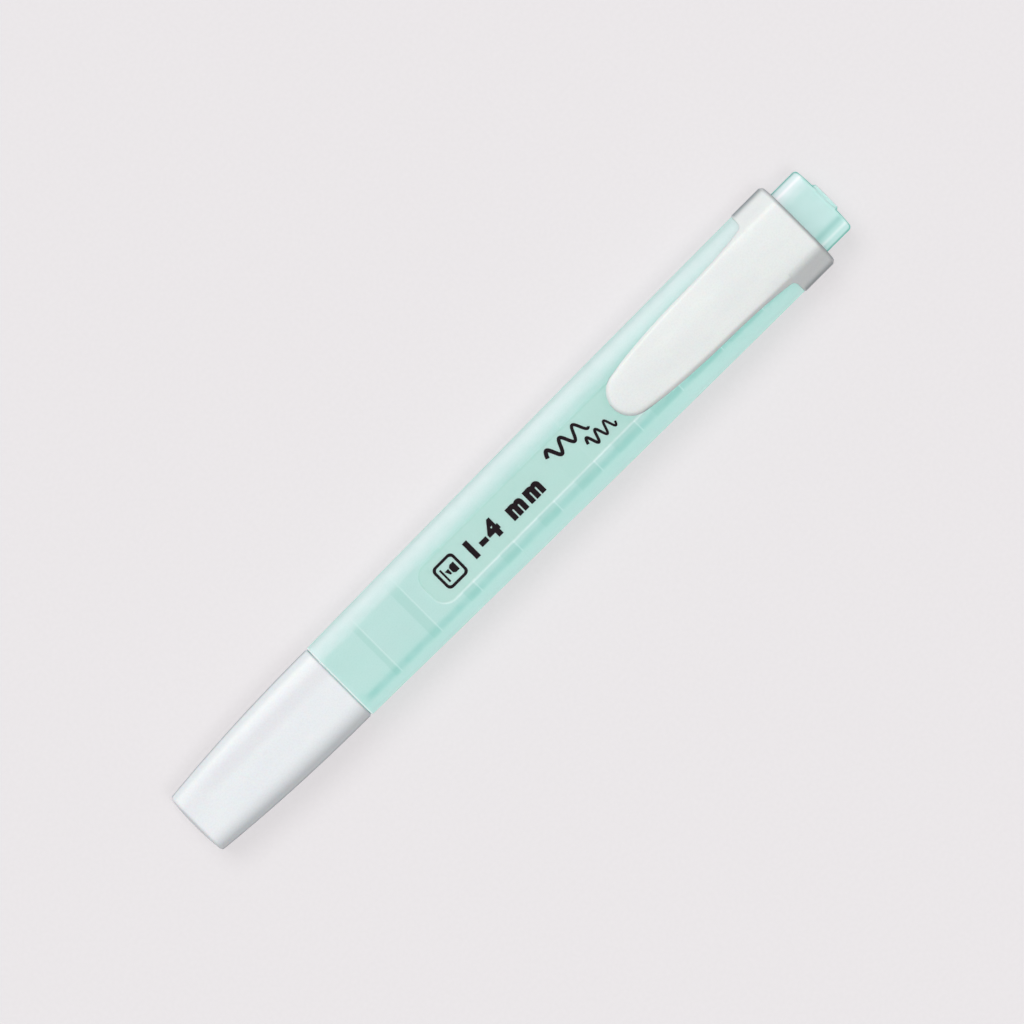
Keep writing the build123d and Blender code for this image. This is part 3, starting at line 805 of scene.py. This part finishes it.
def stroke(name, first_x, last_x, y, swing, pace, thick, thin):
    """A pen-stroke sample: a flat wavy ribbon whose width goes from thick to thin."""
    stations = steps(first_x, last_x, 120)
    points = [Vector((x, y + swing * math.sin((x - first_x) * pace))) for x in stations]
    last = len(points) - 1
    low, high = PRINT_Z, PRINT_Z + PRINT_DEPTH
    rings = []
    for i, p in enumerate(points):
        along = points[min(i + 1, last)] - points[max(i - 1, 0)]
        across = along.normalized().orthogonal() * (thick + (thin - thick) * i / last) / 2
        left, right = p + across, p - across
        rings.append([(*left, low), (*right, low), (*right, high), (*left, high)])
    return skin(name, rings)


prints = [
    print_mark(),
    print_size(),
    stroke("print_broad", 8.9, 16.2, 1.5, 0.95, 2.45, 0.62, 0.42),
    stroke("print_fine", 14.4, 19.4, -1.1, 0.85, 3.7, 0.46, 0.34),
]
for piece in prints:
    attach(piece, "pen_body")


# ------ material helpers
def srgb(code):
    """A linear RGBA colour from a six-figure hexadecimal display colour."""
    channels = [int(code[i:i + 2], 16) / 255 for i in (0, 2, 4)]
    return [c / 12.92 if c <= 0.04045 else ((c + 0.055) / 1.055) ** 2.4 for c in channels] + [1.0]


class Finish:
    """A material under construction; its methods add nodes and return their output sockets."""

    def __init__(self, name):
        self.material = bpy.data.materials.new(name)
        self.material.use_nodes = True
        self.tree = self.material.node_tree
        self.tree.nodes.clear()
        self.place = self.node("ShaderNodeTexCoord").outputs["Object"]
        split = self.node("ShaderNodeSeparateXYZ", Vector=self.place)
        self.x, self.y = (self.calc("DIVIDE", split.outputs[i], MM) for i in (0, 1))
        self.away = self.calc("ABSOLUTE", self.y)
        turned = self.node(
            "ShaderNodeVectorTransform",
            {"vector_type": "NORMAL", "convert_from": "WORLD", "convert_to": "OBJECT"},
            Vector=self.node("ShaderNodeNewGeometry").outputs["Normal"],
        )
        facing = self.node("ShaderNodeSeparateXYZ", Vector=turned.outputs[0])
        self.normal_x, self.normal_z = facing.outputs[0], facing.outputs[2]
        self.level = self.calc("ABSOLUTE", self.normal_z)

    def node(self, kind, settings=None, **inputs):
        """Adds a node; an input is a value or another node's output socket."""
        made = self.tree.nodes.new(kind)
        for key, value in (settings or {}).items():
            setattr(made, key, value)
        for key, value in inputs.items():
            self.feed(made.inputs[key.replace("_", " ")], value)
        return made

    def feed(self, socket, value):
        """Links or sets one input."""
        if isinstance(value, bpy.types.NodeSocket):
            self.tree.links.new(value, socket)
        else:
            socket.default_value = value

    def calc(self, operation, a, b=0.0):
        """One arithmetic step, clamped only where the operation itself clamps."""
        made = self.node("ShaderNodeMath", {"operation": operation})
        self.feed(made.inputs[0], a)
        self.feed(made.inputs[1], b)
        return made.outputs[0]

    def times(self, first, *others):
        """The product of its values."""
        for other in others:
            first = self.calc("MULTIPLY", first, other)
        return first

    def less(self, a, b):
        """Value a with b taken away."""
        return self.calc("SUBTRACT", a, b)

    def spread(self, value, low, high, first=0.0, last=1.0):
        """Value mapped smoothly from low..high to first..last."""
        made = self.node("ShaderNodeMapRange", {"interpolation_type": "SMOOTHSTEP"}, Value=value)
        for key, number in (("From Min", low), ("From Max", high), ("To Min", first), ("To Max", last)):
            self.feed(made.inputs[key], number)
        return made.outputs[0]

    def band(self, value, low, high, soft):
        """1 between low and high, falling to 0 over the soft distance outside."""
        rise = self.spread(value, low - soft, low + soft)
        fall = self.spread(value, high - soft, high + soft, 1.0, 0.0)
        return self.times(rise, fall)

    def mix(self, share, a, b):
        """Colour a going to colour b by share; a colour is a socket or a hexadecimal code."""
        made = self.node("ShaderNodeMix", {"data_type": "RGBA", "clamp_factor": True})
        self.feed(made.inputs["Factor"], share)
        for index, colour in ((6, a), (7, b)):
            self.feed(made.inputs[index], srgb(colour) if isinstance(colour, str) else colour)
        return made.outputs[2]

    def noise(self, size, detail=2.0, stretch=(1.0, 1.0, 1.0), rough=0.5):
        """Noise from 0 to 1 whose cells are about size millimetres across."""
        place = self.node("ShaderNodeMapping", Vector=self.place, Scale=stretch).outputs[0]
        pattern = {"Scale": 1.0 / (size * MM), "Detail": detail, "Roughness": rough}
        return self.node("ShaderNodeTexNoise", Vector=place, **pattern).outputs["Fac"]

    def bump(self, height, strength, distance):
        """A bumped normal; distance in millimetres."""
        made = self.node("ShaderNodeBump", Height=height, Strength=strength, Distance=distance * MM)
        return made.outputs["Normal"]

    def grazing(self):
        """0 where the surface faces the viewer, 1 where it turns away."""
        return self.node("ShaderNodeLayerWeight", Blend=0.5).outputs["Facing"]

    def edge(self):
        """0 on level or facing surface, up to 1 where a steep side also turns away from the viewer."""
        return self.calc("SQRT", self.times(self.less(1.0, self.level), self.grazing()))

    def level_sheen(self):
        """Specular level: full where seen squarely or steep, low on level faces seen at a slant."""
        slant = self.less(self.grazing(), self.less(1.0, self.level))
        return self.spread(slant, 0.25, 0.5, 0.5, 0.06)

    def plastic(self, colour, **inputs):
        """The main surface shader."""
        return self.node("ShaderNodeBsdfPrincipled", Base_Color=colour, **inputs).outputs[0]

    def done(self, shader, clear_share=0.0, tint="ffffff"):
        """Connects the shader, with a share of clear tint mixed in, and returns the material."""
        if clear_share:
            clear = self.node("ShaderNodeBsdfTransparent", Color=srgb(tint)).outputs[0]
            blend = self.node("ShaderNodeMixShader")
            for index, value in enumerate((clear_share, shader, clear)):
                self.feed(blend.inputs[index], value)
            shader = blend.outputs[0]
        self.node("ShaderNodeOutputMaterial", Surface=shader)
        return self.material


# ------ materials
COAT = {"Coat_Roughness": 0.25, "Coat_Weight": 0.08}
MINT_DEPTH = {"Subsurface_Radius": (0.8, 1.1, 1.05), "IOR": 1.49}
CLEAR_MINT = "c4ebe4"


def satin_plastic(name, face, shade, slope, rim, collar_rim_shade, rear, trough_shade=0.0, end_rim_shade=1.0):
    """Opaque moulded plastic: fine spark-eroded grain, faint mottling, and painted shade that darkens slopes
    and rims, faces turned towards +X and a band on the +Y side.
    """
    f = Finish(name)
    colour = f.mix(f.spread(f.noise(5.0, 3.0, (0.4, 1.0, 1.0)), 0.35, 0.7), face, shade)
    colour = f.mix(f.spread(f.noise(0.24), 0.4, 0.7, 0.0, 0.14), colour, "c9cdce")
    # painted shade: steep slopes turning away from the viewer are darkened
    colour = f.mix(f.spread(f.edge(), 0.0, 0.4, 0.0, slope), colour, "8c9ea3")
    # painted shade: faces turned towards +X, such as the collar's rear edge, are darkened
    colour = f.mix(f.spread(f.normal_x, 0.15, 0.95, 0.0, rear), colour, "747a7d")
    # painted shade: a faint darker band on the +Y side of the broad face, weaker towards the cap's end
    trough_fade = f.spread(f.x, cap_low.x, cap_low.x + 9.0, 0.2, 1.0)
    colour = f.mix(f.times(f.band(f.y, 1.6, 4.0, 0.8), trough_shade, trough_fade), colour, "a688a2")
    # painted shade: edges turning away from the viewer are darkened, less where they face +X or the cap's
    # end, with their own share on the collar
    rim_shade = f.times(
        f.spread(f.edge(), 0.56, 0.84),
        f.spread(f.normal_x, 0.1, 0.6, 1.0, 0.3),
        f.spread(f.normal_x, -0.7, -0.2, end_rim_shade, 1.0),
        f.spread(f.x, COLLAR_FRONT_X, COLLAR_FRONT_X + 0.5, rim, collar_rim_shade),
    )
    colour = f.mix(rim_shade, colour, "667378")
    rough = f.spread(f.noise(0.5, 3.0), 0.3, 0.7, 0.33, 0.4)
    grain = f.bump(f.noise(0.22), 0.5, 0.03)
    depth = {"Subsurface_Weight": 0.12, "Subsurface_Scale": 0.5 * MM}
    return f.done(f.plastic(colour, Roughness=rough, IOR=1.46, Normal=grain, **depth, **COAT))


def land_pattern(f):
    """The moulded rings seen through the barrel, as painted light: (groove share for painted shade, painted
    highlight line where a land begins).
    """
    from_first = f.less(f.x, FIRST_LAND_X)
    index = f.calc("FLOOR", f.calc("DIVIDE", from_first, LAND_PITCH))
    past_front = f.less(from_first, f.times(index, LAND_PITCH))
    land_length = f.less(FIRST_LAND_LENGTH, f.times(index, LAND_SHORTENING))
    groove = f.spread(f.less(past_front, land_length), -0.12, 0.12)
    return groove, f.band(past_front, 0.12, 0.28, 0.08)


def panel_pattern(f):
    """The printing panel: (its area, its rim for a painted highlight)."""
    beyond_x = f.calc("MAXIMUM", f.less(PANEL_FRONT_X + PANEL_CORNER, f.x), 0.0)
    beyond_y = f.calc("MAXIMUM", f.less(f.away, PANEL_WIDTH / 2 - PANEL_CORNER), 0.0)
    reach = f.calc("SQRT", f.calc("ADD", f.calc("POWER", beyond_x, 2.0), f.calc("POWER", beyond_y, 2.0)))
    outward = f.less(reach, PANEL_CORNER)
    top_face = f.spread(f.normal_z, 0.3, 0.7)
    area = f.spread(outward, -0.1, 0.1, 1.0, 0.0)
    rim = f.band(outward, 0.0, 0.14, 0.08)
    return f.times(area, top_face), f.times(rim, top_face)


def tinted_barrel():
    """Milky mint plastic: the core shows as a lighter middle; the air gap and grooves are painted shade, with
    painted highlights on the land fronts, the panel rim and the front rim, a painted seam shade and a painted
    deeper mint at the outline.
    """
    f = Finish("barrel_tint")
    broad_face = f.spread(f.level, 0.25, 0.7)
    groove, land_highlight = land_pattern(f)
    panel, panel_highlight = panel_pattern(f)
    # painted shade: a darker band over the air gap between core and wall, weaker on the +Y side
    gap = f.times(
        broad_face,
        f.band(f.away, 4.1, 5.1, 0.36),
        f.spread(f.x, -33.8, -32.0),
        f.spread(f.y, -1.0, 1.0, 1.0, 0.15),
        f.spread(f.noise(2.2), 0.35, 0.65, 0.75, 1.1),
    )
    beside_panel = f.times(f.spread(f.x, PANEL_FRONT_X - 1.0, PANEL_FRONT_X), f.spread(f.y, 0.0, 1.0))
    # how clearly the painted ring shade and highlight lines show
    seen = f.times(
        f.spread(f.away, 5.0, 5.4, 1.0, 0.0),
        broad_face,
        f.spread(f.y, 2.6, 4.6, 1.0, 0.2),
        f.spread(f.x, FIRST_GROOVE_X - 0.4, FIRST_GROOVE_X - 0.2),
        f.less(1.0, f.times(beside_panel, 0.7)),
        f.less(1.0, f.times(panel, 0.88)),
    )
    colour = f.mix(f.spread(f.noise(6.0, 3.0, (0.35, 1.0, 1.0)), 0.3, 0.75), "bbe2dc", "bfe5df")
    colour = f.mix(f.spread(f.noise(0.24), 0.4, 0.7, 0.0, 0.2), colour, "a6d8d0")
    for share, tone in (
        (f.times(panel, 0.5), "b4dfd4"),
        (f.times(gap, 0.78), "a0d6cf"),
        # painted shade over the grooves
        (f.times(groove, seen, 0.34), "97d1c7"),
        # painted highlight where each land begins
        (f.times(land_highlight, seen, 0.42), "def5f1"),
        # painted highlight along the panel's rim
        (f.times(panel_highlight, f.less(0.17, f.times(groove, 0.12))), "def5f1"),
        # painted highlight on surfaces facing the front, such as the barrel's front rim
        (f.spread(f.normal_x, -0.1, -0.5, 0.0, 0.85), "effaf8"),
        # painted shade on faces looking straight forward, darkening the seam under the cap's mouth
        (f.spread(f.normal_x, -0.85, -0.98, 0.0, 0.35), "5f9f96"),
        # painted light: outlines turning from the viewer are tinted a more saturated mint
        (f.spread(f.edge(), 0.72, 0.95, 0.0, 0.9), "8fe6d2"),
    ):
        colour = f.mix(share, colour, tone)
    rough = f.spread(f.noise(1.2, 3.0), 0.3, 0.7, 0.55, 0.62)
    depth = {"Subsurface_Weight": 0.6, "Subsurface_Scale": 1.0 * MM, **MINT_DEPTH}
    body = f.plastic(colour, Roughness=rough, Specular_IOR_Level=f.level_sheen(), **depth, **COAT)
    return f.done(body, 0.06, CLEAR_MINT)


def tinted_plug():
    """The same mint plastic in a hollow block: a painted highlight along each wall, a painted shade line
    inside it and a painted deeper mint at the edges.
    """
    f = Finish("plug_tint")
    broad_face = f.spread(f.level, 0.3, 0.7)
    # painted shade: a darker line on the broad faces about 3.5 mm out from the axis
    inner_shade = f.times(f.band(f.away, 3.1, 3.9, 0.4), broad_face, f.spread(f.y, -2.0, 2.0, 0.62, 0.3))
    # painted highlight: a light line over each side wall
    wall_highlight = f.times(f.band(f.away, 4.4, 4.75, 0.25), broad_face, 0.8)
    # painted shade: the outline darkens where it turns from the viewer, but not where the moulding pad grows
    # out of the end
    before_pad = f.spread(f.x, PAD_ROOT_X - 0.1, PAD_ROOT_X + 0.1, 1.0, 0.0)
    pad_root = f.times(f.spread(f.away, 2.0, 2.4, 1.0, 0.0), before_pad, 0.9)
    outline = f.times(f.spread(f.edge(), 0.5, 0.8), f.less(1.0, pad_root))
    colour = f.mix(f.spread(f.noise(3.0, 3.0), 0.3, 0.75), "c3e8e3", "c8ebe7")
    for share, tone in ((inner_shade, "98d0c9"), (wall_highlight, "ecfaf8"), (outline, "41b3a4")):
        colour = f.mix(share, colour, tone)
    rough = f.spread(f.noise(1.2, 3.0), 0.3, 0.7, 0.5, 0.56)
    ripple = f.bump(f.noise(0.8), 0.05, 0.03)
    depth = {"Subsurface_Weight": 0.5, "Subsurface_Scale": 0.5 * MM, **MINT_DEPTH}
    coat = {**COAT, "Coat_Weight": 0.04}
    body = f.plastic(
        colour, Roughness=rough, Specular_IOR_Level=f.level_sheen(), Normal=ripple, **depth, **coat
    )
    return f.done(body, 0.05, CLEAR_MINT)


def felt():
    """Pressed polyester fibre soaked in mint ink, paler at the dry tail."""
    f = Finish("nib_fibre")
    strands = f.noise(0.09, 4.0, (0.06, 1.0, 1.0), 0.65)
    pores = f.noise(0.07)
    colour = f.mix(f.spread(f.x, nib_low.x + 3.0, nib_low.x), "a5dccf", "6fc9b7")
    colour = f.mix(f.spread(strands, 0.45, 0.75, 0.0, 0.5), colour, "e3f4ee")
    colour = f.mix(f.spread(pores, 0.55, 0.8, 0.0, 0.5), colour, "4aa695")
    grain = f.bump(f.calc("ADD", strands, f.times(pores, 0.6)), 0.6, 0.05)
    return f.done(f.plastic(colour, Roughness=0.85, Normal=grain, Sheen_Weight=0.3, Sheen_Roughness=0.5))


def core_fibre():
    """Fine lengthwise fibre with unevenly soaked ink."""
    f = Finish("core_fibre")
    strands = f.noise(0.12, 4.0, (0.03, 1.0, 1.0), 0.6)
    colour = f.mix(f.spread(f.noise(7.0, 3.0, (0.4, 1.0, 1.0)), 0.3, 0.7), "d9f2ea", "b9e6da")
    colour = f.mix(f.spread(strands, 0.4, 0.75, 0.0, 0.45), colour, "f3fbf8")
    return f.done(f.plastic(colour, Roughness=0.9, Normal=f.bump(strands, 0.6, 0.05)))


def clear_film():
    """A thin clear wrap with faint lengthwise creases."""
    f = Finish("clear_film")
    crease = f.noise(1.5, 3.0, (0.08, 1.0, 1.0))
    colour = f.mix(f.spread(crease, 0.4, 0.7), "e8f4f1", "dcefea")
    rough = f.spread(crease, 0.3, 0.7, 0.12, 0.25)
    body = f.plastic(colour, Roughness=rough, IOR=1.5, Normal=f.bump(crease, 0.3, 0.05))
    return f.done(body, 0.7, "f4fbf9")


def ink():
    """Black pad-printed ink, slightly uneven."""
    f = Finish("print_ink")
    pin = f.noise(0.12, 3.0)
    colour = f.mix(f.spread(pin, 0.35, 0.8), "050406", "0c0a0e")
    return f.done(f.plastic(colour, Roughness=0.6, Specular_IOR_Level=0.1, Normal=f.bump(pin, 0.2, 0.01)))


def floor_card():
    """Matt pale studio card."""
    f = Finish("floor_card")
    colour = f.mix(f.spread(f.noise(0.6, 4.0), 0.3, 0.7), "8a8889", "898788")
    return f.done(f.plastic(colour, Roughness=0.9, Specular_IOR_Level=0.1))


def wear(material, *pieces):
    """Gives pieces their one material."""
    for piece in pieces:
        piece.data.materials.clear()
        piece.data.materials.append(material)


liner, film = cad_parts["cap_liner"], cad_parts["reservoir_film"]
wear(tinted_barrel(), barrel, front)
wear(tinted_plug(), plug)
# shares of painted shade for each satin piece: slopes, rims, rims on the collar, faces towards +X, the +Y
# band and the cap's end rim
wear(satin_plastic("cap_satin", "e8ecee", "e5e9ec", 0.24, 0.7, 0.7, 0.2, trough_shade=0.1, end_rim_shade=0.1), cap)
wear(satin_plastic("clip_satin", "e8ecea", "e3e7e6", 0.15, 0.27, 1.0, 0.7), clip)
wear(satin_plastic("liner_satin", "eceeed", "e3e6e5", 0.1, 0.3, 0.3, 0.0), liner)
wear(ink(), *prints)
wear(felt(), nib)
wear(core_fibre(), core)
wear(clear_film(), film)


# ------ studio
FLOOR_HALF = 8.0
VIEW_TURN = math.radians(44.93)
UPPER_LEFT = math.radians(135.0) - VIEW_TURN
FIELD_WIDTH = 144.65
LENS, SENSOR = 600.0, 36.0
AIM_RIGHT, AIM_DOWN = 0.212, 0.155
AMBIENT = 0.42


def make_floor():
    """A flat card under the pen."""
    mesh = bpy.data.meshes.new("floor")
    corners = [(a * FLOOR_HALF, b * FLOOR_HALF, 0.0) for a, b in ((-1, -1), (1, -1), (1, 1), (-1, 1))]
    mesh.from_pydata(corners, [], [(0, 1, 2, 3)])
    floor = link("floor", mesh)
    wear(floor_card(), floor)
    return floor


def make_camera():
    """A long lens looking straight down, turned so that the pen runs from lower left to upper right."""
    data = bpy.data.cameras.new("camera")
    data.lens = LENS
    data.sensor_width = SENSOR
    camera = link("camera", data)
    right = Vector((math.cos(VIEW_TURN), -math.sin(VIEW_TURN), 0.0))
    up = Vector((math.sin(VIEW_TURN), math.cos(VIEW_TURN), 0.0))
    height = MID_Z + FIELD_WIDTH * LENS / SENSOR
    camera.location = (right * AIM_RIGHT - up * AIM_DOWN + Vector((0.0, 0.0, height))) * MM
    camera.rotation_euler = (0.0, 0.0, -VIEW_TURN)
    bpy.context.scene.camera = camera


def add_sun(
    name, strength, spread, tilt, receivers, turn=0.0, matt=True, gloss=True, shadow=True, colour="ffffff"
):
    """A soft far-off light for some pieces; tilt is from overhead, turn is from the picture's upper left."""
    data = bpy.data.lights.new(name, "SUN")
    data.energy = strength
    data.angle = math.radians(spread)
    data.color = srgb(colour)[:3]
    data.use_shadow = shadow
    sun = link(name, data)
    direction = UPPER_LEFT + math.radians(turn)
    slant = math.radians(tilt)
    out = math.sin(slant)
    towards = Vector((out * math.cos(direction), out * math.sin(direction), math.cos(slant)))
    sun.rotation_euler = towards.to_track_quat("Z", "Y").to_euler()
    lit = bpy.data.collections.new(name + "_lights")
    for receiver in receivers:
        lit.objects.link(receiver)
    sun.light_linking.receiver_collection = lit
    sun.visible_diffuse = matt
    sun.visible_glossy = gloss


def make_light(floor):
    """Even light from all round, and large soft sources from the upper left of the picture."""
    world = bpy.data.worlds.new("studio")
    world.use_nodes = True
    background = world.node_tree.nodes["Background"].inputs
    background["Color"].default_value = srgb("fefcfd")
    background["Strength"].default_value = AMBIENT
    bpy.context.scene.world = world
    solid = [cap, clip, nib, core, liner, film]
    add_sun("key", 2.26, 30.0, 31.0, solid, gloss=False)
    add_sun("fill", 0.22, 60.0, 60.0, solid, turn=180.0, gloss=False)
    add_sun("strip", 0.6, 26.0, 72.0, solid, matt=False, colour="fffbcc")
    tinted = [barrel, plug, front] + prints
    add_sun("tint_key", 1.49, 90.0, 0.0, tinted, gloss=False, shadow=False)
    for turn in (90.0, 180.0, 270.0):
        add_sun("tint_fill", 0.62, 40.0, 82.0, tinted, turn=turn, gloss=False, shadow=False)
    add_sun("tint_edge", 0.45, 40.0, 88.0, tinted, gloss=False, shadow=False, colour="ffe6f2")
    add_sun("tint_strip", 14.5, 95.0, 64.0, tinted, matt=False, shadow=False, colour="ffcfe0")
    add_sun("floor_key", 1.5, 30.0, 22.0, [floor])
    add_sun("floor_back", 1.0, 18.0, 12.0, [floor], turn=180.0)
    add_sun("floor_fill", 6.58, 20.0, 0.0, [floor], shadow=False)


make_camera()
make_light(make_floor())
bpy.context.scene.view_settings.view_transform = "Standard"
